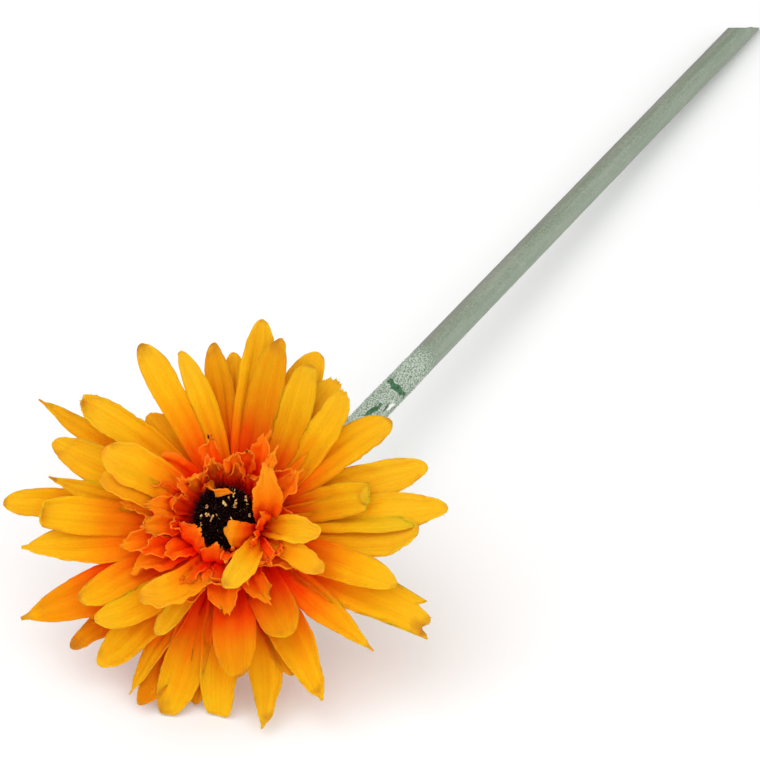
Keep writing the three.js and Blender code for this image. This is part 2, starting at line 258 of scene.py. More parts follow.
def endTree(geometry, material):
    # instances are made real, and the material is set on the mesh rather than left to the
    # modifier; the export keeps neither instances nor a modifier's own materials
    shaded = build("GeometryNodeSetShadeSmooth", {"Geometry": geometry})
    dressed = build("GeometryNodeSetMaterial", {"Geometry": realize(shaded), "Material": material})
    return endGroup({0: dressed})


def bakeTree(thing, tree, values, name):
    modifier = thing.modifiers.new(tree.name, "NODES")
    modifier.node_group = tree
    for socket in tree.interface.items_tree:
        if socket.name in values:
            modifier[socket.identifier] = values[socket.name]
    evaluated = thing.evaluated_get(bpy.context.evaluated_depsgraph_get())
    mesh = bpy.data.meshes.new_from_object(evaluated)
    mesh.name = name
    if mesh.materials[0] is None:
        mesh.materials.pop(index=0)
    bpy.data.objects.remove(thing, do_unlink=True)
    return link(name, mesh)


def namedValue(tree, name, kind="FLOAT"):
    node = addNode(tree, "GeometryNodeInputNamedAttribute", {"Name": name}, data_type=kind)
    return node.outputs["Attribute"]


def position(tree):
    return addNode(tree, "GeometryNodeInputPosition")


def randomValue(tree, low, high, seed):
    # a vector's sockets come before a number's
    first, kind, output = (0, "FLOAT_VECTOR", 0) if isinstance(low, tuple) else (2, "FLOAT", 1)
    inputs = {first: low, first + 1: high, "Seed": seed}
    return addNode(tree, "FunctionNodeRandomValue", inputs, data_type=kind).outputs[output]


def standAlong(direction):
    return build("FunctionNodeAlignEulerToVector", {"Vector": direction}, axis="Z")


def jitter(tree, reach, seed):
    return randomValue(tree, (-reach,) * 3, (reach,) * 3, seed)


def taper(sides, segments, tip, foot, length):
    inputs = {"Vertices": sides, "Side Segments": segments, "Radius Top": tip, "Radius Bottom": foot}
    return build("GeometryNodeMeshCone", {**inputs, "Depth": length})


def tube(path, radius, sides):
    ring = build("GeometryNodeCurvePrimitiveCircle", {"Radius": radius, "Resolution": sides})
    return build("GeometryNodeCurveToMesh", {"Curve": path, "Profile Curve": ring, "Fill Caps": True})


def spreadPoints(mesh, density, seed):
    return build("GeometryNodeDistributePointsOnFaces", {"Mesh": mesh, "Density": density, "Seed": seed})


def scatter(points, shape, rotation, scale):
    return build("GeometryNodeInstanceOnPoints", {
        "Points": points, "Instance": shape, "Rotation": rotation, "Scale": scale})


def moveBy(geometry, offset):
    return build("GeometryNodeSetPosition", {"Geometry": geometry, "Offset": offset})


def alongNormal(geometry, amount):
    normal = addNode(geometry.id_data, "GeometryNodeInputNormal")
    return moveBy(geometry, vectorMath("SCALE", normal, scale=amount))


def wanderBy(geometry, scale, amount):
    # each point goes its own way, as a noise field says
    field = build("ShaderNodeTexNoise", {"Vector": position(geometry.id_data), "Scale": scale})
    way = vectorMath("SUBTRACT", field.outputs["Color"], (0.5, 0.5, 0.5))
    return moveBy(geometry, vectorMath("SCALE", way, scale=amount))


def realize(geometry):
    return build("GeometryNodeRealizeInstances", {"Geometry": geometry})


def restOnFloor(geometry, gap):
    # what would reach below the surface lies flat on it
    x, y, z = build("ShaderNodeSeparateXYZ", {0: position(geometry.id_data)}).outputs
    rested = combine(x, y, doMath("MAXIMUM", z, gap))
    return build("GeometryNodeSetPosition", {"Geometry": geometry, "Position": rested})


def store(geometry, name, value, domain="POINT"):
    return build("GeometryNodeStoreNamedAttribute", {"Geometry": geometry, "Name": name, "Value": value},
                 data_type="FLOAT", domain=domain)


def join(*parts):
    joined = addNode(parts[0].id_data, "GeometryNodeJoinGeometry")
    for part in parts:
        feed(joined.inputs[0], part)
    return joined


def finishPiece(piece, node):
    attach(piece, "root")
    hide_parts(node)


def newMesh(name, points, faces, attributes=None, edges=()):
    mesh = bpy.data.meshes.new(name)
    mesh.from_pydata(points, edges, faces)
    for key, values in (attributes or {}).items():
        if isinstance(values[0], Vector):
            flat = [number for value in values for number in value]
            mesh.attributes.new(key, "FLOAT_VECTOR", "POINT").data.foreach_set("vector", flat)
        else:
            mesh.attributes.new(key, "FLOAT", "POINT").data.foreach_set("value", values)
    mesh.update()
    return link(name, mesh)


def shaderGroup(name, inputs, outputs):
    kinds = {"Vector": "Vector", **dict.fromkeys(inputs, "Float")}
    return newGroup(name, "ShaderNodeTree", kinds, dict.fromkeys(outputs, "Float"))[1]


def useGroup(group, inputs):
    return build("ShaderNodeGroup", inputs, node_tree=group)


def makeWeave():
    # fine cloth grain, as a height and as a faint change of colour
    given = shaderGroup("clothWeave", ("Scale", "Contrast"), ("Height", "Shade"))
    grain = noiseValue(given["Vector"], given["Scale"], 3.0, 0.65)
    blotch = noiseValue(given["Vector"], times(given["Scale"], 0.08), 3.0)
    change = times(minus(plus(grain, blotch), 1.0), given["Contrast"])
    return endGroup({"Height": grain, "Shade": plus(change, 1.0)})


def makeFlecks():
    # pale flecks of flock over a darker ground, thinning out where Cover falls
    given = shaderGroup("flockFlecks", ("Scale", "Cover"), ("Mask", "Height"))
    fine = noiseValue(given["Vector"], given["Scale"], 4.0, 0.7)
    mask = ramp(plus(fine, times(given["Cover"], 0.06)), 0.5, 0.6)
    return endGroup({"Mask": times(mask, given["Cover"]), "Height": times(fine, given["Cover"])})


weaveGroup = makeWeave()
fleckGroup = makeFlecks()
clothScale = 1500.0


def addWeave(where, colour, contrast):
    weave = useGroup(weaveGroup, {"Vector": where, "Scale": clothScale, "Contrast": contrast})
    shade = build("ShaderNodeCombineColor", dict.fromkeys(range(3), weave.outputs["Shade"]))
    return mix(1.0, colour, shade, "MULTIPLY"), weave.outputs["Height"]


petalSetup = {
    "rayRoot": (7.0, -7.6), "innerRoot": (8.7, -4.9), "layerMiddle": -5.85, "layerStart": 10.8,
    "layerSlope": 0.42, "layerGap": 0.75, "discClearance": 7.9, "discHeadroom": 4.5, "rounding": 0.3,
}

# Bearing at the root and at the tip, reach, width, height of the tip, arch, roll, end, and the
# tone, from dull ochre (-1) to bright yellow (1.4): partly the petal's own colour, partly painted light for
# shaded and lit petals
rays = [
    (359, 359, 54, 9.4, 2, 2, 0, "round", 1.3),
    (13, 11.5, 50, 9.4, 0, 1, 8, "round", 1.3),
    (25, 29, 45.5, 9.6, 1, 2, -10, "round", -0.2),
    (29, 43, 42, 8, 5, 2, 12, "frayed", 0),
    (46, 51, 42, 9, -1, 1, -8, "frayed", 0.6),
    (46, 59.5, 41, 8.6, 7, 2, 10, "round", -0.3),
    (60, 61, 45.6, 10, -3, 0, 0, "round", 0.2),
    (69, 71, 43.2, 8.6, 7, 2, -12, "round", -0.8),
    (77, 78, 48.7, 8.2, 2, 1, 10, "round", -0.1),
    (86, 88, 41, 6.4, -4, 0, 0, "round", -0.3),
    (89, 95, 43.6, 6.6, -1, 1, -16, "round", -0.8),
    (95, 104, 40.4, 5.8, 6, 2, 12, "round", 0.4),
    (110, 116, 47.2, 7.6, 3, 2, -8, "round", 0),
    (125, 126, 32.5, 8, -3, 0, 0, "round", -0.5),
    (132, 141, 46.6, 8.4, 2, 2, 10, "frayed", 0.5),
    (146, 146.5, 54, 6.6, -4, 1, 0, "point", -0.3),
    (156, 155.5, 46, 9.6, 0, 1, -6, "round", -0.1),
    (170, 166.5, 43, 6.2, -1, 2, 14, "point", -0.2),
    (173, 173, 56, 8, -4, 0, 0, "round", -0.2),
    (180, 178, 47, 9, 4, 2, -10, "round", 0.1),
    (193, 187, 48, 11.4, 0, 2, 8, "point", 0.3),
    (213, 205, 53, 11.6, -2, 1, -8, "point", -0.5),
    (210, 212, 41, 8.4, 2, 2, 10, "round", 0),
    (219, 218, 48, 7, -7, 0, 0, "round", -0.9),
    (236, 221, 40.5, 8.4, 4, 2, -10, "round", 0.8),
    (233, 229.5, 46.8, 10, -4, 1, 0, "round", 0.6),
    (242, 242, 33.5, 6, 2, 1, 0, "round", 1.4),
    (241, 240, 46, 6, -6, 0, 0, "point", -0.3),
    (246, 244.5, 49.6, 7.2, -9.6, 0, 0, "round", -0.9),
    (253, 252, 48.6, 10.4, -9.4, 1, 0, "round", 0),
    (259, 259, 44, 6, -9.5, 0, 0, "round", -1),
    (276, 276, 39.5, 10.4, 2, 2, 0, "round", -0.7),
    (267, 267, 48, 9.8, -8.9, 1, 0, "round", 0.3),
    (293, 280, 51.6, 9.8, -8.8, 1, 0, "point", 1.2),
    (292, 293, 41.5, 7, -7, 0, 0, "round", -0.8),
    (300, 298, 51, 10, -4, 1, 6, "point", 0.6),
    (300, 298, 35.5, 10.4, 3, 2, 0, "round", -0.7),
    (316, 317, 47, 7.6, 0, 1, 0, "point", 0),
    (328, 331.5, 55.6, 10.8, 0, 1, 0, "torn", 0.5),
    (335, 335.5, 45.5, 8.8, 5, 2, -8, "round", 0.1),
    (344, 353, 49.4, 10.6, 0, 1, -8, "round", 1.4),
    (7, 4, 39, 8.6, 5, 2, 0, "round", -0.3),
]

# Bearing at the root, then bearing, reach and height of the bend and of the tip, width, turn at
# the root, roll, how far its colour has gone from red to gold, its end, and its tone: partly its own colour,
# partly painted light for shaded and lit petals
innerPetals = [
    (345, (344, 17, 7), (343, 25.5, 8), 7.2, 0, 0, 0.95, "round", 1.6),
    (334, (330, 19, 8), (328, 30, 6), 5.6, 0, 0, 0.85, "round", 0.8),
    (333, (302, 17, 15), (281, 18.5, 11), 6.2, -100, 0, 0.95, "round", 1.6),
    (340, (301, 10.8, 13.5), (277, 5.6, 5.2), 7.2, 0, 0, 0.45, "round", 1.4),
    (350, (4, 13.2, 12), (31, 14.1, 12), 7.4, 100, 0, 0.45, "crumpled", 0.6),
    (22, (28, 14, 8), (40, 18.6, 12), 4.6, 0, 20, 0.4, "crumpled", 0),
    (9, (13, 15.5, 6), (21, 20.8, 8), 6, 0, -10, 0.3, "crumpled", 0),
    (98, (98, 11.5, 3), (97, 12.6, 10), 5.6, 0, 0, 0.25, "crumpled", 0),
    (76, (74, 11.5, 4), (72, 13, 10), 5, 0, 30, 0.2, "crumpled", 0),
    (126, (125, 11, 3), (122, 10.2, 9), 5.2, 0, 0, 0.3, "crumpled", 0),
    (171, (172, 13, 4), (173, 17, 6), 6, 0, 10, 0.35, "crumpled", 0),
    (189, (189, 13, 4), (190, 18, 6), 5.6, 0, -10, 0.35, "crumpled", 0),
    (216, (221, 14.2, 4.4), (228, 5.9, 7.6), 9.4, 0, 0, 0.12, "crumpled", -0.2),
    (258, (260, 15, 2.6), (264, 7.9, 6.4), 8.4, 0, 0, 0.12, "crumpled", -0.2),
    (132, (119, 6, 6.6), (70, 4.7, 5.6), 3.2, -100, 0, 0.3, "point", 0.6),
    (268, (268, 15, 1.5), (268, 19.5, 6), 8, 0, 0, 0.35, "crumpled", 0),
    (222, (218, 13, 2), (219, 17, 5), 6, 0, 0, 0.25, "crumpled", 0),
    (318, (316, 13, 3), (314, 19.6, 6), 6, 0, 15, 0.15, "crumpled", 0),
    (303, (304, 13, 3), (307, 18, 6), 5.4, 0, -20, 0.15, "crumpled", 0),
    (246, (255, 23, 9.5), (229, 28.2, 7.5), 10, 0, 0, 0.84, "round", 1.0),
    (149, (150, 18, 9), (152, 30.8, 9), 10, 0, 0, 0.9, "round", 0.8),
    (164, (164, 18, 7), (163, 29.6, 7.5), 7.4, 0, 0, 0.8, "round", 0.8),
]

# Rays whose tips have rolled over, by their tip bearing, and the angle of the roll
rolledTips = {4: 170, 178: 120, 141: 70, 59.5: -40, 298: 45, 212: 60, 71: -35}

# Small petals in rings: how many, reach and its spread, height, width, where the ring starts and
# how far round it goes, and how golden it is
fillerSetup = {
    "rings": ((10, 12, 2.5, 7, 5, 294, 280, 0.1), (13, 19.5, 4, 4.5, 5.6, 20, 360, 0.22),
              (7, 24.5, 4, 3, 7, 172, 172, 0.5)),
    "seed": 11, "unevenGaps": 0.5, "heightSpread": 2.5, "bearingSpread": 16, "rollSpread": 50,
}


def softly(distance):
    rounding = petalSetup["rounding"]
    return distance / 2 + math.sqrt(distance * distance / 4 + rounding * rounding)


def layerHeight(point):
    past = max(0.0, math.hypot(point.x, point.y) - petalSetup["layerStart"])
    return petalSetup["layerMiddle"] + petalSetup["layerSlope"] * past


def keepClear(point, layer):
    # rays (-1) stay under the slope between the layers, and inner petals (1) over it and off the disc
    limit = layerHeight(point) + layer * petalSetup["layerGap"]
    point.z = limit + layer * softly(layer * (point.z - limit))
    radius = math.hypot(point.x, point.y)
    if layer > 0 and point.z < petalSetup["discHeadroom"] and radius < petalSetup["discClearance"]:
        point.x *= petalSetup["discClearance"] / radius
        point.y *= petalSetup["discClearance"] / radius


# Outlines: the share of the full width that a blade has at a share of its length
def roundOutline(along, widest=0.68, rootShare=0.46, fullness=0.94):
    if along < widest:
        return rootShare + (1 - rootShare) * math.sin(along / widest * math.pi / 2)
    past = (along - widest) / (1 - widest)
    return math.sqrt(max(0.0, 1 - past * past * fullness))


def pointedOutline(along, widest=0.55, rootShare=0.5, tipShare=0.1, taperPower=0.75):
    if along < widest:
        return roundOutline(along, widest, rootShare)
    past = (along - widest) / (1 - widest)
    return max(0.0, math.cos(past * math.pi / 2)) ** taperPower * (1 - tipShare) + tipShare


def tornOutline(along, full=0.7, leastShare=0.86):
    return max(roundOutline(along), leastShare if along > full else 0)


# share of the end's width and how far the torn end reaches there
tornTeeth = ((-1, -0.6), (-0.62, -1.2), (-0.45, -3.2), (-0.05, -1.4), (0.3, -1.9), (0.5, -5.6),
             (0.62, -5.8), (0.85, -4.2), (1, -5.4))
# outline, raggedness of the end, how much of it is frayed, how much its cloth waves, and its teeth
ends = {
    "round": (roundOutline, 0.14, 0.12, 0.6, None),
    "point": (pointedOutline, 0.1, 0.1, 0.6, None),
    "frayed": (roundOutline, 0.9, 0.8, 0.6, None),
    "crumpled": (pointedOutline, 1.1, 0.35, 1.0, None),
    "torn": (tornOutline, 0.3, 0.4, 0.6, tornTeeth),
}
endStart = 0.9  # the outline narrows along the blade up to here, and is cut off past it
furthestEnd = 1.04
halvings = 14


def endLength(outline, share):
    # how far along the blade its edge lies, for a line at this share of the end's width
    wanted = outline(endStart) * abs(share)
    low, high = endStart, furthestEnd
    for step in range(halvings):
        middle = (low + high) / 2
        if outline(middle) > wanted:
            low = middle
        else:
            high = middle
    return (low + high) / 2


def toothReach(teeth, share):
    for (left, low), (right, high) in zip(teeth, teeth[1:]):
        if share <= right:
            return low + (high - low) * (share - left) / (right - left)
    return teeth[-1][1]


sheetKeys = ("along", "across", "tone", "gold", "warmth", "wave", "seed", "fray", "heading")
pathSteps = 60  # on a blade's middle line, from root to tip
pathLength = 1.05  # the line goes on past the tip, for a ragged end
tightCurl = 60  # degrees, past which only the last of the tip rolls over
curlStarts = (0.76, 0.88)  # share of the length where a gentle and a tight curl begin
bladeRim = {"bows": (5, 0.07), "nibbles": 26, "from": (0.25, 0.6)}
endNoise = ((5, 3.1, 1.0), (17, 8.7, 0.7))  # how fine, which slice of the noise, how strong


def petalFrames(shape):
    # the middle line of the blade from root to tip, with its heading and the direction across it
    root, bend, tip = shape["root"], shape["bend"], shape["tip"]
    curlStart = curlStarts[abs(shape["curl"]) > tightCurl]

    def direction(t):
        return ((bend - root) * (1 - t) + (tip - bend) * t).normalized()

    heading = direction(0)
    side = Vector((-root.y, root.x, 0))
    side = (side - heading * side.dot(heading)).normalized()
    side = Quaternion(heading, math.radians(shape["turn"])) @ side
    stepLength = (tip - root).length / pathSteps
    curlStep = math.radians(shape["curl"]) / (pathSteps * pathLength * (1 - curlStart))
    curled = 0.0
    frames = []
    for step in range(int(pathSteps * pathLength) + 1):
        t = min(step / pathSteps, 1.0)
        nextHeading = direction(t)
        side = heading.rotation_difference(nextHeading) @ side
        heading = nextHeading
        if step / pathSteps <= curlStart:
            place = curveAt(root, bend, tip, t)
            facing = heading
        else:
            curled += curlStep
            facing = Quaternion(side, -curled) @ heading
            place = place + facing * stepLength
        frames.append((place, facing, side))
    return frames


def endRoughness(share, seed):
    return sum(noise.noise(Vector((share * fine, seed, cut))) * strength for fine, cut, strength in endNoise)


def rimShift(along, seed, rightSide, nibble):
    bows, depth = bladeRim["bows"]
    shift = noise.noise(Vector((along * bows, seed, rightSide))) * depth
    shift += noise.noise(Vector((along * bladeRim["nibbles"], seed, 4 + rightSide))) * nibble
    return shift * smooth(*bladeRim["from"], along)


def addPetal(sheet, shape, rows, columns, dice):
    outline, ragged, fray, wave, teeth = ends[shape["end"]]
    half = shape["width"] / 2
    length = (shape["tip"] - shape["root"]).length
    seed = dice.uniform(0, 100)
    shape.setdefault("curl", dice.uniform(*shape["curls"]))
    frames = petalFrames(shape)
    lastPlace = len(frames) - 1.001  # a little before the last frame, so that one follows it
    shares = [column / (columns - 1) * 2 - 1 for column in range(columns)]
    reaches = []
    for share in shares:
        tooth = toothReach(teeth, share) if teeth else 0
        reaches.append(endLength(outline, share) + (endRoughness(share, seed) * ragged + tooth) / length)
    first = len(sheet["points"])
    for row in range(rows):
        for share, reach in zip(shares, reaches):
            along = row / (rows - 1) * reach
            place = min(along * pathSteps, lastPlace)
            low = int(place)
            centre, heading, across = (a.lerp(b, place - low) for a, b in zip(frames[low], frames[low + 1]))
            across = Quaternion(heading, math.radians(shape["roll"]) * along) @ across
            normal = heading.cross(across)
            width = half * outline(min(along, endStart))
            edge = rimShift(along, seed, share > 0, shape["nibble"])
            point = centre + across * (share * width * (1 + edge * abs(share)))
            point += normal * (shape["cupping"] * width * share * share)
            if shape["layer"]:
                keepClear(point, shape["layer"])
            sheet["points"].append(toMetres(point))
            values = (along, share, shape["tone"], shape["gold"], shape["warmth"], wave, seed,
                      fray if row == rows - 1 else 0.0, bloomToPart.to_3x3() @ heading)
            for key, value in zip(sheetKeys, values):
                sheet[key].append(value)
    for row in range(rows - 1):
        for column in range(columns - 1):
            corner = first + row * columns + column
            sheet["faces"].append((corner, corner + columns, corner + columns + 1, corner + 1))


warmthSetup = {"least": -0.4, "most": 0.85, "swing": -1.6, "turn": 8}


def warmthAt(bearing):
    # painted shade: the lower side of the bloom, in the shade of the petals above it, is painted red further
    # out than the upper side
    swung = warmthSetup["swing"] * math.sin(math.radians(bearing + warmthSetup["turn"]))
    return min(warmthSetup["most"], max(warmthSetup["least"], swung))


def bladeShape(root, bend, tip, width, end, curls, **own):
    plain = {"turn": 0, "roll": 0, "tone": 0.0, "gold": 0.0, "warmth": 0.0, "cupping": 0.25, "nibble": 0.03}
    return {"root": root, "bend": bend, "tip": tip, "width": width, "end": end, "curls": curls, "layer": 0,
            **plain, **own}


def rayShape(row):
    rootBearing, tipBearing, reach, width, height, arch, roll, end, tone = row
    rootRadius, rootHeight = petalSetup["rayRoot"]
    bendReach = rootRadius + 0.5 * (reach - rootRadius)
    root = polar(rootBearing, rootRadius, rootHeight)
    bend = polar(rootBearing, bendReach, (rootHeight + height) / 2 + 2 * arch)
    curl = {"curl": rolledTips[tipBearing]} if tipBearing in rolledTips else {}
    return bladeShape(
        root, bend, polar(tipBearing, reach, height), width, end, (-28, 42), roll=roll, tone=tone, gold=1.0,
        warmth=warmthAt(tipBearing), layer=-1, nibble=0.08 if end == "frayed" else 0.03, **curl)


def innerShape(row):
    root, bend, tip, width, turn, roll, gold, end, tone = row
    return bladeShape(
        polar(root, *petalSetup["innerRoot"]), polar(*bend), polar(*tip), width, end, (-20, 50),
        turn=turn, roll=roll, tone=tone, gold=gold, warmth=warmthAt(tip[0]) * (1 - gold), layer=1,
        cupping=0.35, nibble=0.03 if end == "round" else 0.12)


def parkMiller(state, multiplier=16807, modulus=2147483647):
    while True:
        state = state * multiplier % modulus
        yield state / modulus


def fillerShapes(setup):
    numbers = parkMiller(setup["seed"])

    def chance():
        return next(numbers) - 0.5

    rootRadius, rootHeight = petalSetup["innerRoot"]
    shapes = []
    for count, reach, spread, height, width, start, span, gold in setup["rings"]:
        for place in range(count):
            bearing = start + (place + chance() * setup["unevenGaps"]) * span / count
            tipReach = reach + chance() * spread
            tipHeight = height + chance() * setup["heightSpread"]
            tipBearing = bearing + chance() * setup["bearingSpread"]
            root = polar(bearing, rootRadius, rootHeight)
            bend = polar(bearing, (rootRadius + tipReach) / 2 + 1, height * 0.4)
            tip = polar(tipBearing, tipReach, tipHeight)
            ownWidth = width * (0.85 + 0.3 * next(numbers))
            shapes.append(bladeShape(
                root, bend, tip, ownWidth, "crumpled", (-50, 58), roll=chance() * setup["rollSpread"],
                gold=gold, warmth=warmthAt(bearing) + 0.2, layer=1, cupping=0.5, nibble=0.14))
    return shapes


# Cloth: lengthwise creases, wavy rims and crumples pushed along the normal, then an even thickness
raySetup = {
    "rows": 38, "columns": 17, "seed": 3,
    "scales": {"Creases": 2.6, "Ruffle scale": 420.0, "Crumple scale": 95.0},
    "lengths": {"Crease depth": 0.57, "Ruffle": 2.7, "Crumple": 7.3, "Thickness": 0.34, "Thread length": 0.9,
                "Floor gap": 0.65},
}
centreSetup = {
    "rows": 28, "columns": 17, "seed": 5,
    "scales": {"Creases": 2.2, "Ruffle scale": 380.0, "Crumple scale": 190.0},
    "lengths": {"Crease depth": 0.36, "Ruffle": 4.4, "Crumple": 3.4, "Thickness": 0.3, "Thread length": 0.8,
                "Floor gap": 0.45},
}
weldDistance = 0.001 * mm
threadTilt = ((-0.7, -0.7, 0), (0.7, 0.7, 3))


def makeClothTree():
    tree, given = geometryTree("petalCloth", (
        "Crease depth", "Creases", "Ruffle", "Ruffle scale", "Crumple", "Crumple scale", "Thickness",
        "Thread length", "Floor gap"))
    along, across, seed = (namedValue(tree, name) for name in ("along", "across", "seed"))
    where = position(tree)

    def swell(scale, detail):
        inputs = {"Vector": where, "W": seed, "Scale": scale, "Detail": detail}
        return minus(build("ShaderNodeTexNoise", inputs, noise_dimensions="4D"), 0.5)

    # creases run the length of the blade and fade at its tip
    fold = doMath("COSINE", plus(times(across, given["Creases"], math.pi), seed))
    fade = doMath("MINIMUM", times(minus(1.08, along), 2.2), 1.0)
    crease = times(fold, fade, given["Crease depth"])
    # the rim waves more than the middle
    rim = plus(doMath("POWER", doMath("ABSOLUTE", across), 1.6), 0.25)
    ruffle = times(swell(given["Ruffle scale"], 1.5), rim, doMath("POWER", along, 0.7), given["Ruffle"])
    # broad crumples bend the whole blade towards its tip
    crumple = times(swell(given["Crumple scale"], 1.0), along, given["Crumple"])
    total = plus(plus(crease, ruffle), crumple)
    moved = alongNormal(given["Geometry"], times(total, namedValue(tree, "wave")))
    moved = restOnFloor(moved, given["Floor gap"])
    # frayed threads stand out of the cut ends
    frayed = build("FunctionNodeCompare", {
        "A": namedValue(tree, "fray"), "B": randomValue(tree, 0.0, 1.0, 7)}, operation="GREATER_THAN")
    points = build("GeometryNodeMeshToPoints", {"Mesh": moved, "Selection": frayed})
    thread = taper(3, 1, 0.01 * mm, 0.07 * mm, given["Thread length"])
    turned = build("FunctionNodeRotateEuler", {
        0: standAlong(namedValue(tree, "heading", "FLOAT_VECTOR")),
        1: randomValue(tree, *threadTilt, 3)}, space="LOCAL")
    threads = scatter(points, thread, turned, randomValue(tree, 0.4, 1.1, 5))
    # thickness: the sheet, turned over, closed by its own extrusion
    grown = build("GeometryNodeExtrudeMesh", {
        "Mesh": moved, "Offset Scale": given["Thickness"], "Individual": False}, mode="FACES")
    closed = join(grown, build("GeometryNodeFlipFaces", {"Mesh": moved}))
    welded = build("GeometryNodeMergeByDistance", {"Geometry": closed, "Distance": weldDistance})
    return endTree(join(welded, threads), given["Material"])


# Colour from root to tip, for a petal that stays red-orange and for one that turns to gold
clothColours = {
    "red": [(0.0, (0.95, 0.003, 0.0)), (0.35, (0.97, 0.015, 0.0)), (0.7, (0.98, 0.058, 0.0)),
            (1.0, (0.98, 0.15, 0.003))],
    "gold": [(0.0, (1.0, 0.005, 0.0)), (0.18, (1.0, 0.026, 0.0)), (0.31, (0.97, 0.09, 0.0)),
             (0.44, (0.89, 0.2, 0.001)), (0.58, (0.84, 0.32, 0.002)), (0.76, (0.81, 0.42, 0.005)),
             (1.0, (0.77, 0.44, 0.012))],
    "scorch": (0.3, 0.12, 0.012), "rim": (0.4, 0.2, 0.02), "redRimHighlight": (1.0, 0.2, 0.015),
    "ochreAndShade": (0.8, 0.68, 0.55), "creaseShade": (0.9, 0.74, 0.6),
}
# How fine its patterns are, and how much each one shows
clothLook = {"blotch": (130, 3.0, 0.2), "toneShift": 0.13, "warmthShift": 0.18, "streaks": (1.6, 0.42),
             "wear": (230, 0.55), "scorch": (160, 0.6), "weave": 0.12, "bump": (0.35, 0.2 * mm)}


def petalMaterial(name, colours, look):
    material, tree, shader = newMaterial(name, Roughness=0.85, Specular_IOR_Level=0.06, Subsurface_Weight=0.5,
                                         Subsurface_Scale=0.002, Subsurface_Radius=(1.0, 0.35, 0.06))
    along, across, tone, gold, warmth, seed = (
        readAttribute(tree, key) for key in ("along", "across", "tone", "gold", "warmth", "seed"))
    where = objectPlace(tree)
    # the tone moves a petal towards yellow or red: partly its own colour, partly painted light for lit and
    # shaded petals
    place = plus(plus(along, sway(where, *look["blotch"])), times(tone, look["toneShift"]))
    # painted shade: petals towards the lower side of the bloom are shifted towards red
    place = minus(place, times(warmth, look["warmthShift"]))
    colour = mix(gold, colourRamp(place, colours["red"]), colourRamp(place, colours["gold"]))
    # streaks run the length of the blade; the colour is darkened where they dip, in the grooves of the bump,
    # as painted shade in fine creases
    streakScale, creaseShadeShare = look["streaks"]
    lines = combine(times(across, 7.0), times(along, 1.2), seed)
    streaks = noiseValue(lines, streakScale, 3.0)
    creaseShadeMask = times(ramp(streaks, 0.68, 0.34), creaseShadeShare)
    # the cut rim is darker on gold; on red it is brighter, a painted highlight where the crinkled edges catch
    # the light; and some ends are scorched
    rim = times(ramp(doMath("ABSOLUTE", across), 0.86, 1.0), ramp(along, 0.4, 0.95))
    rim = doMath("MAXIMUM", rim, ramp(along, 0.97, 1.0))
    wearScale, wearShare = look["wear"]
    worn = times(ramp(noiseValue(where, wearScale, 3.0), 0.4, 0.6), wearShare)
    goldRim = times(rim, times(ramp(gold, 0.55, 0.95), worn))
    redRimHighlight = times(rim, ramp(gold, 0.7, 0.3))
    scorchScale, scorchShare = look["scorch"]
    patchy = ramp(noiseValue(where, scorchScale), 0.5, 0.66)
    scorched = times(patchy, ramp(along, 0.86, 1.0), gold, scorchShare)
    # petals of low tone are dulled to ochre: partly their own colour, partly painted shade
    for paint, share in {"creaseShade": creaseShadeMask, "ochreAndShade": ramp(tone, 0.1, -1.0)}.items():
        colour = mix(share, colour, colours[paint], "MULTIPLY")
    for paint, share in {"rim": goldRim, "redRimHighlight": redRimHighlight, "scorch": scorched}.items():
        colour = mix(share, colour, colours[paint])
    colour, grain = addWeave(where, colour, look["weave"])
    dress(shader, colour, plus(grain, times(streaks, 2.5)), *look["bump"])
    return material


clothTree = makeClothTree()


def makeCloth(shapes, name, material, setup):
    dice = random.Random(setup["seed"])
    sheet = {key: [] for key in ("points", "faces") + sheetKeys}
    for shape in shapes:
        addPetal(sheet, shape, setup["rows"], setup["columns"], dice)
    thing = newMesh(name + "Sheet", sheet["points"], sheet["faces"], {key: sheet[key] for key in sheetKeys})
    return bakeTree(thing, clothTree, {**lengthsIn(setup), **setup["scales"], "Material": material}, name)


rayCloth = petalMaterial("rayCloth", clothColours, clothLook)
centreCloth = petalMaterial("centreCloth", {**clothColours, "rim": (0.95, 0.24, 0.04)}, clothLook)
rayPetals = makeCloth([rayShape(row) for row in rays], "rayPetals", rayCloth, raySetup)
centreShapes = [innerShape(row) for row in innerPetals] + fillerShapes(fillerSetup)
centrePetals = makeCloth(centreShapes, "centrePetals", centreCloth, centreSetup)
finishPiece(rayPetals, "petals_outer")
finishPiece(centrePetals, "petals_inner")
print("petals made:", len(rayPetals.data.polygons), "and", len(centrePetals.data.polygons), "faces")

discSetup = {"radius": 7.0, "base": -4.1, "shoulder": -1.1, "crown": 3.0, "domeSteps": 8, "sides": 48}
brushSetup = {"perSquareMm": 4.5, "lengths": {"Length": 1.9, "Radius": 0.2, "Curl": 1.6}}
speckSetup = {"lift": 0.75, "lengths": {"Size": 0.47, "Roughen": 0.705}}
discColours = {
    "filament": [(0.0, (0.006, 0.002, 0.002)), (0.6, (0.03, 0.011, 0.01)), (1.0, (0.1, 0.042, 0.035))],
    "dark": (0.35, 0.3, 0.45), "tan": (0.5, 0.27, 0.12),
    "speck": [(0.36, (0.38, 0.15, 0.02)), (0.5, (0.82, 0.5, 0.14)), (0.64, (0.95, 0.76, 0.36))],
}

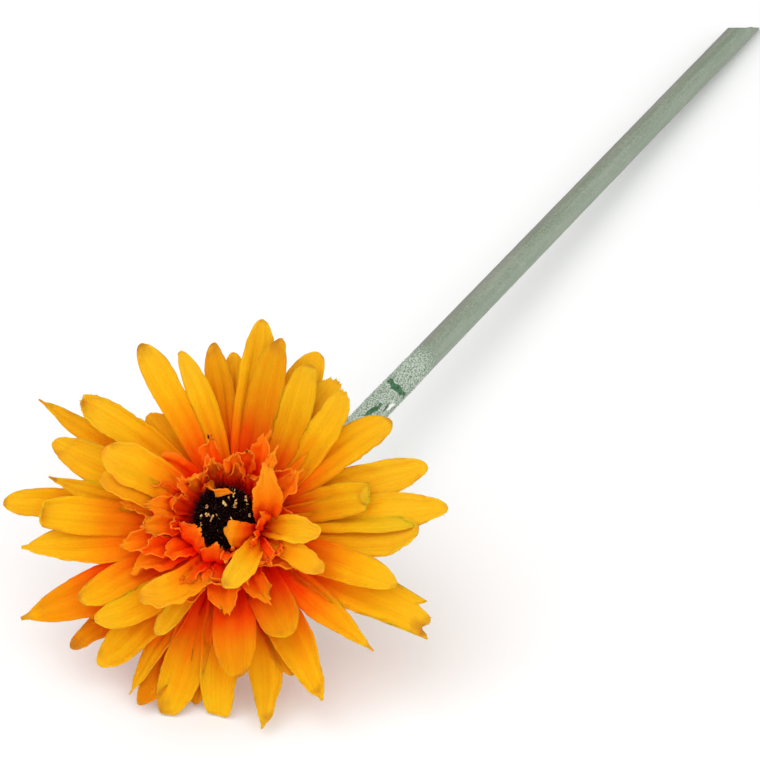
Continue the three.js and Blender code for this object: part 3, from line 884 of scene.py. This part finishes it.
# Pale specks caught on the filaments: bearing, distance from the axis, size
specks = [
    (155, 4.2, 1), (183, 3.6, 1.6), (188, 3.1, 1.2), (205, 2.6, 1.7), (204, 1.2, 0.8),
    (185, 5.2, 1.2), (204, 5.6, 1.1), (214, 6.5, 0.9), (72, 2.2, 1.5),
    (80, 2.6, 1.1), (40, 4.4, 1.2), (33, 3.9, 1.1), (24, 3.5, 0.9), (325, 2.8, 1.3),
    (35, 6.7, 1.2), (30, 6.4, 1.3), (21, 6.3, 0.9), (359, 6.4, 0.8), (354, 6.6, 0.9),
    (66, 4.2, 0.8), (58, 5.2, 1), (96, 4.8, 1), (62, 6.2, 0.9),
]


def turnedMesh(name, profile, sides):
    # revolves pairs of radius and height about the bloom's axis
    points, faces, rings = [], [], []
    for radius, height in profile:
        rings.append(range(len(points), len(points) + sides) if radius else [len(points)] * sides)
        around = range(sides if radius else 1)
        points += [toMetres(polar(360 * side / sides, radius, height)) for side in around]
    for low, high in zip(rings, rings[1:]):
        for side in range(sides):
            following = (side + 1) % sides
            corners = (low[side], low[following], high[following], high[side])
            faces.append(tuple(dict.fromkeys(corners)))
    return newMesh(name, points, faces)


def domeHeight(setup, share):
    return setup["shoulder"] + setup["crown"] * share


def domeProfile(setup):
    profile = [(0, setup["base"]), (setup["radius"], setup["base"]), (setup["radius"], setup["shoulder"])]
    for step in range(1, setup["domeSteps"]):
        angle = step / setup["domeSteps"] * math.pi / 2
        profile.append((setup["radius"] * math.cos(angle), domeHeight(setup, math.sin(angle))))
    return profile + [(0, domeHeight(setup, 1))]


def speckPoints(setup, above):
    points, sizes = [], []
    for bearing, distance, size in specks:
        lift = math.sqrt(max(0.0, 1 - (distance / setup["radius"]) ** 2))
        points.append(toMetres(polar(bearing, distance, domeHeight(setup, lift) + above)))
        sizes.append(float(size))
    return points, sizes


def makeBrushTree():
    tree, given = geometryTree("discBrush", ("Density", "Length", "Radius", "Curl"), ("Axis",))
    spread = spreadPoints(given["Geometry"], given["Density"], 21)
    filament = taper(4, 3, 0.04 * mm, given["Radius"], given["Length"])
    height = build("ShaderNodeSeparateXYZ", {0: position(tree)}).outputs["Z"]
    filament = store(filament, "rise", doMath("DIVIDE", height, given["Length"]))
    lean = build("ShaderNodeMix", {0: 0.3, 4: given["Axis"], 5: spread.outputs["Normal"]},
                 data_type="VECTOR").outputs[1]
    stand = standAlong(vectorMath("ADD", lean, jitter(tree, 0.3, 2)))
    placed = scatter(spread, filament, stand, randomValue(tree, 0.45, 1.0, 5))
    tinted = store(placed, "tint", randomValue(tree, 0.0, 1.0, 9), "INSTANCE")
    # the tips wander
    amount = times(doMath("POWER", namedValue(tree, "rise"), 1.5), given["Curl"])
    return endTree(join(wanderBy(realize(tinted), 900.0, amount), given["Geometry"]), given["Material"])


def makeSpeckTree():
    tree, given = geometryTree("discSpecks", ("Size", "Roughen"))
    points = build("GeometryNodeMeshToPoints", {"Mesh": given["Geometry"]})
    # each crumb is a short bent tube
    spine = build("GeometryNodeCurveArc", {
        "Resolution": 9, "Radius": times(given["Size"], 0.68), "Sweep Angle": 3.9})
    crumb = tube(spine, times(given["Size"], 0.42), 8)
    squash = randomValue(tree, (0.7, 0.5, 0.45), (1.5, 1.0, 0.8), 4)
    scale = vectorMath("SCALE", squash, scale=namedValue(tree, "size"))
    placed = scatter(points, crumb, randomValue(tree, (0, 0, 0), (6.2, 6.2, 6.2), 8), scale)
    return endTree(wanderBy(realize(placed), 2600.0, given["Roughen"]), given["Material"])


def brushMaterial(colours):
    material, tree, shader = newMaterial("brushFilament", Roughness=0.9, Specular_IOR_Level=0.0)
    rise, tint = readAttribute(tree, "rise"), readAttribute(tree, "tint")
    dark = mix(tint, colourRamp(rise, colours["filament"]), colours["dark"], "MULTIPLY")
    # the tips of a few filaments are tan
    tan = times(ramp(tint, 0.965, 0.985), ramp(rise, 0.35, 0.8), 0.7)
    dress(shader, mix(tan, dark, colours["tan"]))
    return material


def grainMaterial(name, stops, scale, detail, roughness, **constants):
    material, tree, shader = newMaterial(name, **constants)
    dress(shader, colourRamp(noiseValue(objectPlace(tree), scale, detail, roughness), stops))
    return material


brush = bakeTree(turnedMesh("discDome", domeProfile(discSetup), discSetup["sides"]), makeBrushTree(), {
    **lengthsIn(brushSetup), "Density": brushSetup["perSquareMm"] / mm / mm, "Axis": bloomAxis,
    "Material": brushMaterial(discColours),
}, "discBrush")
speckPlaces, speckSizes = speckPoints(discSetup, brushSetup["lengths"]["Length"] * speckSetup["lift"])
creamSpeck = grainMaterial("creamSpeck", discColours["speck"], 1800, 3.0, 0.5, Roughness=0.8)
speckPiece = bakeTree(newMesh("speckPlaces", speckPlaces, [], {"size": speckSizes}), makeSpeckTree(),
                      {**lengthsIn(speckSetup), "Material": creamSpeck}, "discSpecks")
finishPiece(brush, "disc")
finishPiece(speckPiece, "disc")
print("disc made:", len(brush.data.polygons), "faces")

# A ring of bracts: how many, radius and height of root, bend and tip, width, and where it starts
calyxSetup = {
    "cupTop": -9.8, "cupBottom": -20.0, "cupLip": 11.6, "cupNeck": 5.2, "socketRadius": 3.8,
    "socketEnd": -15.1, "lipHeight": 0.8, "swell": ((0.9, 0.6), (-0.6, -4.5)), "cupSteps": 12, "sides": 56,
    "sharpAngle": 40,
    "bractRings": ((13, (8.2, -14.6), (13, -13.4), (18.2, -10.9), 5.0, 0),
                   (11, (5.6, -17.6), (9.6, -16.6), (13.8, -14.1), 4.8, 10)),
}
bractSetup = {
    "rows": 14, "columns": 9, "seed": 9,
    "scales": {"Creases": 1.0, "Ruffle scale": 300.0, "Crumple scale": 150.0},
    "lengths": {"Crease depth": 0.2, "Ruffle": 0.8, "Crumple": 1.0, "Thickness": 0.5, "Thread length": 0.4,
                "Floor gap": 0.6},
}
sepalColours = {"cloth": [(0.0, (0.11, 0.17, 0.07)), (0.6, (0.17, 0.25, 0.1)), (1.0, (0.28, 0.3, 0.12))],
                "flock": (0.42, 0.5, 0.38)}
# Node, cloth, bottom, top and radius of the plate that each layer of petals grows from
hubPlates = {"rayHub": ("petals_outer", rayCloth, -9.5, -6.0, 10.5),
             "centreHub": ("petals_inner", centreCloth, -5.7, -4.4, 10.8)}


def cupProfile(setup):
    # the outside swells from the neck to the lip in one smooth curve
    neck = Vector((setup["cupNeck"], setup["cupBottom"]))
    lip = Vector((setup["cupLip"], setup["cupTop"] - setup["lipHeight"]))
    pullLow, pullHigh = neck + Vector(setup["swell"][0]), lip + Vector(setup["swell"][1])
    profile = [(0, setup["socketEnd"]), (setup["socketRadius"], setup["socketEnd"]),
               (setup["socketRadius"], setup["cupBottom"])]
    for step in range(setup["cupSteps"] + 1):
        t = step / setup["cupSteps"]
        profile.append(tuple(neck * (1 - t) ** 3 + pullLow * (3 * t * (1 - t) ** 2)
                             + pullHigh * (3 * t * t * (1 - t)) + lip * t ** 3))
    return profile + [(setup["cupLip"], setup["cupTop"]), (0, setup["cupTop"])]


def bractShapes(setup):
    shapes = []
    for count, *spots, width, start in setup["bractRings"]:
        for place in range(count):
            line = [polar(start + place * 360 / count, *spot) for spot in spots]
            shapes.append(bladeShape(*line, width, "point", (14, 14)))
    return shapes


def greenMaterial(colours):
    material, tree, shader = newMaterial("sepalCloth", Roughness=0.8, Specular_IOR_Level=0.2)
    where = objectPlace(tree)
    flock = useGroup(fleckGroup, {"Vector": where, "Scale": clothScale, "Cover": 0.5})
    colour = colourRamp(readAttribute(tree, "along"), colours["cloth"])
    colour = mix(flock.outputs["Mask"], colour, colours["flock"])
    colour, grain = addWeave(where, colour, 0.25)
    dress(shader, colour, grain, 0.4, 0.2 * mm)
    return material


def turnedPiece(name, profile, material):
    piece = turnedMesh(name, profile, calyxSetup["sides"])
    piece.data.materials.append(material)
    piece.data.shade_smooth()
    piece.data.set_sharp_from_angle(angle=math.radians(calyxSetup["sharpAngle"]))
    return piece


sepalCloth = greenMaterial(sepalColours)
cup = turnedPiece("calyxCup", cupProfile(calyxSetup), sepalCloth)
bracts = makeCloth(bractShapes(calyxSetup), "calyxBracts", sepalCloth, bractSetup)
finishPiece(cup, "calyx")
finishPiece(bracts, "calyx")
for name, (node, cloth, bottom, top, radius) in hubPlates.items():
    finishPiece(turnedPiece(name, [(0, bottom), (radius, bottom), (radius, top), (0, top)], cloth), node)
print("calyx made")

stemSetup = {
    "neckTop": 15.4, "neckBend": 18.0, "neckCorner": 30.0, "neckSteps": 16, "length": 340.3, "fall": 2.48,
    "cutLean": 27.5, "cutTurn": 26.0, "cutBack": 8.0, "sizes": {"Sides": 44, "Rows": 360},
    "lengths": {"Radius": 3.5, "Floor gap": 0.02, "Wobble": 0.16},
}
flockSetup = {"perSquareMm": 5.0, "lengths": {"Length": 0.26, "Zone end": 102.0, "Zone fade": 18.0}}
# Bare dark patches in the flock, and a chip with a dark line, on the stem's upper side: distance
# along the stem, angle from its top, half length, half width in degrees, slant in degrees a
# millimetre, and how far its sides bow along the stem
barePatches = ((80.6, 38, 1.5, 62, 0, 2.4), (67.2, 31, 4.6, 10, 2.4, 0))
paleChip = (74.2, 76, 1.9, 11, 0, 1.2)
darkLine = (72.6, 64, 2.3, 4, -2.0, 0)
edgeSoftness = 0.35
bareReach = 1.3  # no fibre grows within this many patch sizes, squared


def stemLine(setup):
    # from the socket down the bloom's axis, round the neck, then straight to the cut
    fall = math.radians(setup["fall"])
    heading = Vector((math.cos(fall), 0, -math.sin(fall)))
    depths = (setup["neckTop"], setup["neckBend"], setup["neckCorner"])
    top, bendStart, corner = (bloomToPart @ Vector((0, 0, -depth)) for depth in depths)
    bendEnd = corner + heading * (setup["neckCorner"] - setup["neckBend"])
    steps = setup["neckSteps"]
    neck = [curveAt(bendStart, corner, bendEnd, step / steps) for step in range(steps + 1)]
    straight = [corner + heading * (setup["length"] * share) for share in (0.2, 0.4, 0.6, 0.8, 1.0)]
    return [top, *neck, *straight], corner, heading


def makeStemTree():
    tree, given = geometryTree(
        "stemTube", ("Radius", "Floor gap", "Wobble"),
        ("Corner", "Heading", "Top", "Side", "Cut place", "Cut normal"), ("Rows", "Sides"))
    curve = build("GeometryNodeMeshToCurve", {"Mesh": given["Geometry"]})
    even = build("GeometryNodeResampleCurve", {"Curve": curve, "Count": given["Rows"]})
    skin = tube(even, given["Radius"], given["Sides"])
    where = position(tree)
    fromCorner = vectorMath("SUBTRACT", where, given["Corner"])
    run, onTop, onSide = (dot(fromCorner, given[key]) for key in ("Heading", "Top", "Side"))
    skin = store(store(skin, "run", run), "turn", doMath("ARCTAN2", onSide, onTop))
    # slight unevenness of the skin
    rough = alongNormal(skin, sway(where, 220.0, 3.0, given["Wobble"]))
    # what lies past the slanting cut is drawn back onto its plane
    fromCut = vectorMath("SUBTRACT", where, given["Cut place"])
    past = doMath("MAXIMUM", dot(fromCut, given["Cut normal"]), 0.0)
    slope = dot(given["Heading"], given["Cut normal"])
    back = times(doMath("DIVIDE", past, slope), -1.0)
    cut = moveBy(rough, vectorMath("SCALE", given["Heading"], scale=back))
    return endTree(restOnFloor(cut, given["Floor gap"]), given["Material"])


def makeFibreTree():
    tree, given = geometryTree("stemFlock", ("Density", "Length", "Zone end", "Zone fade"))
    share = doMath("DIVIDE", minus(given["Zone end"], namedValue(tree, "run")), given["Zone fade"])
    share = doMath("MINIMUM", doMath("MAXIMUM", share, 0.0), 1.0)
    cover = times(share, minus(1.0, namedValue(tree, "bare")))
    spread = spreadPoints(given["Geometry"], times(given["Density"], cover), 12)
    fibre = taper(3, 1, 0.02 * mm, 0.06 * mm, given["Length"])
    stand = standAlong(vectorMath("ADD", spread.outputs["Normal"], jitter(tree, 0.7, 2)))
    return endTree(scatter(spread, fibre, stand, randomValue(tree, 0.5, 1.2, 6)), given["Material"])


def patchMask(run, turn, patch, wander):
    # an ellipse in distance and angle, with a wandering edge
    centreRun, centreTurn, halfRun, halfTurn, slant, bow = patch

    def squared(value, half):
        return doMath("POWER", doMath("ABSOLUTE", doMath("DIVIDE", value, half)), 2.0)

    alongStem = minus(times(run, 1 / mm), centreRun)
    turned = minus(times(turn, 180 / math.pi), centreTurn)
    second = squared(minus(turned, times(alongStem, slant)), halfTurn)
    first = squared(minus(alongStem, times(second, bow)), halfRun)
    distance = plus(doMath("SQRT", plus(first, second)), wander)
    return ramp(distance, 1.0 + edgeSoftness / 2, 1.0 - edgeSoftness / 2)


stemColours = {
    "base": (0.185, 0.235, 0.165), "pale": (0.28, 0.315, 0.245), "shadedSide": (0.225, 0.215, 0.185),
    "litSide": (0.33, 0.38, 0.31), "flock": (0.58, 0.66, 0.56), "underFlock": (0.14, 0.205, 0.145),
    "bare": (0.02, 0.085, 0.035), "bareEdge": (0.08, 0.2, 0.1), "chip": (0.9, 0.9, 0.86),
    "darkLine": (0.04, 0.045, 0.04),
    "fibre": [(0.38, (0.12, 0.17, 0.12)), (0.5, (0.28, 0.36, 0.28)), (0.64, (0.66, 0.74, 0.64))],
}
# How fine the stem's patterns are
stemLook = {"streaks": (14.0, 2.2), "speckle": 1300, "mottle": 260, "flecks": 2300.0,
            "patchEdge": (520, 4.0, 2.2), "bump": (0.6, 0.3 * mm)}


def stemMaterial(colours, look, flockEnd):
    material, tree, shader = newMaterial("flockedStem", Roughness=0.72, Specular_IOR_Level=0.25)
    where, run, turn = objectPlace(tree), readAttribute(tree, "run"), readAttribute(tree, "turn")
    side = doMath("SINE", turn)
    # long streaks on the smooth part
    stretch, streakScale = look["streaks"]
    lines = combine(times(run, stretch), side, doMath("COSINE", turn))
    streaks = noiseValue(lines, streakScale, 4.0, 0.6)
    speckle = noiseValue(where, look["speckle"], 3.0, 0.7)
    shade = plus(times(streaks, 0.5), times(speckle, 0.5))
    colour = mix(ramp(shade, 0.42, 0.58), colours["base"], colours["pale"])
    # painted highlight: the stem's right side is paler, where the light catches it
    colour = mix(times(ramp(side, 0.2, 1.0), 0.5), colour, colours["litSide"])
    mottle = noiseValue(where, look["mottle"], 4.0, 0.7)
    # painted shade: the stem's left side is darker and grey-brown, with a mottled edge
    shadedSideMask = ramp(minus(side, minus(mottle, 0.5)), 0.5, -0.6)
    colour = mix(times(shadedSideMask, 0.7), colour, colours["shadedSide"])
    # flock near the bloom, and a little of it further down
    zone = ramp(run, (flockEnd + 8) * mm, (flockEnd - 10) * mm)
    zone = times(zone, ramp(plus(mottle, zone), 0.55, 1.0))
    faint = doMath("MAXIMUM", zone, times(ramp(mottle, 0.5, 0.7), 0.25))
    flock = useGroup(fleckGroup, {"Vector": where, "Scale": look["flecks"], "Cover": faint})
    colour = mix(times(zone, 0.8), colour, colours["underFlock"])
    colour = mix(flock.outputs["Mask"], colour, colours["flock"])
    wander = sway(where, *look["patchEdge"])
    bare = mix(ramp(speckle, 0.4, 0.6), colours["bare"], colours["bareEdge"])
    for patch, paint in (*((patch, bare) for patch in barePatches),
                         (paleChip, colours["chip"]), (darkLine, colours["darkLine"])):
        colour = mix(patchMask(run, turn, patch, wander), colour, paint)
    height = plus(flock.outputs["Height"], times(streaks, 0.4))
    dress(shader, colour, height, *look["bump"])
    return material


def markBare(thing):
    # 1 where no flock is left, so that fibres stay off the dark patches
    attributes = thing.data.attributes
    runs, turns = ([point.value for point in attributes[key].data] for key in ("run", "turn"))
    bare = []
    for run, turn in zip(runs, turns):
        inside = 0.0
        for centreRun, centreTurn, halfRun, halfTurn, slant, bow in (*barePatches, paleChip, darkLine):
            alongStem = run / mm - centreRun
            second = ((math.degrees(turn) - centreTurn - alongStem * slant) / halfTurn) ** 2
            inside = max(inside, float(((alongStem - bow * second) / halfRun) ** 2 + second < bareReach))
        bare.append(inside)
    attributes.new("bare", "FLOAT", "POINT").data.foreach_set("value", bare)


stemPoints, stemCorner, stemHeading = stemLine(stemSetup)
stemTop = (Vector((0, 0, 1)) - stemHeading * stemHeading.z).normalized()
cutLean = math.radians(stemSetup["cutLean"])
cutNormal = polar(stemSetup["cutTurn"], math.sin(cutLean), math.cos(cutLean))
cutPlace = stemPoints[-1] - stemHeading * stemSetup["cutBack"]
stemEdges = [(at, at + 1) for at in range(len(stemPoints) - 1)]
stemGuide = newMesh("stemLine", [point * mm for point in stemPoints], [], edges=stemEdges)
flockedStem = stemMaterial(stemColours, stemLook, flockSetup["lengths"]["Zone end"])
stem = bakeTree(stemGuide, makeStemTree(), {
    **lengthsIn(stemSetup), **stemSetup["sizes"], "Corner": stemCorner * mm, "Heading": stemHeading,
    "Top": stemTop, "Side": stemHeading.cross(stemTop), "Cut place": cutPlace * mm, "Cut normal": cutNormal,
    "Material": flockedStem,
}, "stemRod")
markBare(stem)
flockFibre = grainMaterial("flockFibre", stemColours["fibre"], 2200, 2.0, 0.7, Roughness=0.85,
                           Specular_IOR_Level=0.1)
fibres = bakeTree(link("stemSkin", stem.data.copy()), makeFibreTree(), {
    **lengthsIn(flockSetup), "Density": flockSetup["perSquareMm"] / mm / mm, "Material": flockFibre,
}, "stemFlock")
finishPiece(stem, "stem")
finishPiece(fibres, "stem")
print("stem made:", len(stem.data.polygons), "faces and", len(fibres.data.polygons), "of flock")

floorHalf = 4
floorMaterial = newMaterial("paleFloor", Base_Color=(0.94, 0.94, 0.94), Roughness=0.6)[0]
floor = newMesh("floor", [(x * floorHalf, y * floorHalf, 0) for x, y in ((-1, -1), (1, -1), (1, 1), (-1, 1))],
                [(0, 1, 2, 3)])
floor.data.materials.append(floorMaterial)

# Place, width in metres, power
lampSetup = {"keyLight": ((-0.9, 0.5, 1.5), 1.8, 10), "fillLight": ((-1.4, -1.0, 1.2), 2.0, 15)}
worldStrength = 0.78


def addLamp(name, place, aim, size, power):
    data = bpy.data.lights.new(name, "AREA")
    data.shape = "DISK"
    data.size = size
    data.energy = power
    lamp = link(name, data)
    lamp.location = place
    lamp.rotation_euler = (Vector(place) - aim).to_track_quat("Z", "Y").to_euler()


for name, (place, size, power) in lampSetup.items():
    addLamp(name, place, Vector(bloomPose["centre"]) * mm, size, power)
world = bpy.data.worlds.new("softRoom")
world.use_nodes = True
background = world.node_tree.nodes["Background"].inputs
feed(background["Color"], (1, 1, 1))
feed(background["Strength"], worldStrength)
scene.world = world
scene.view_settings.view_transform = "Standard"
print("room lit")
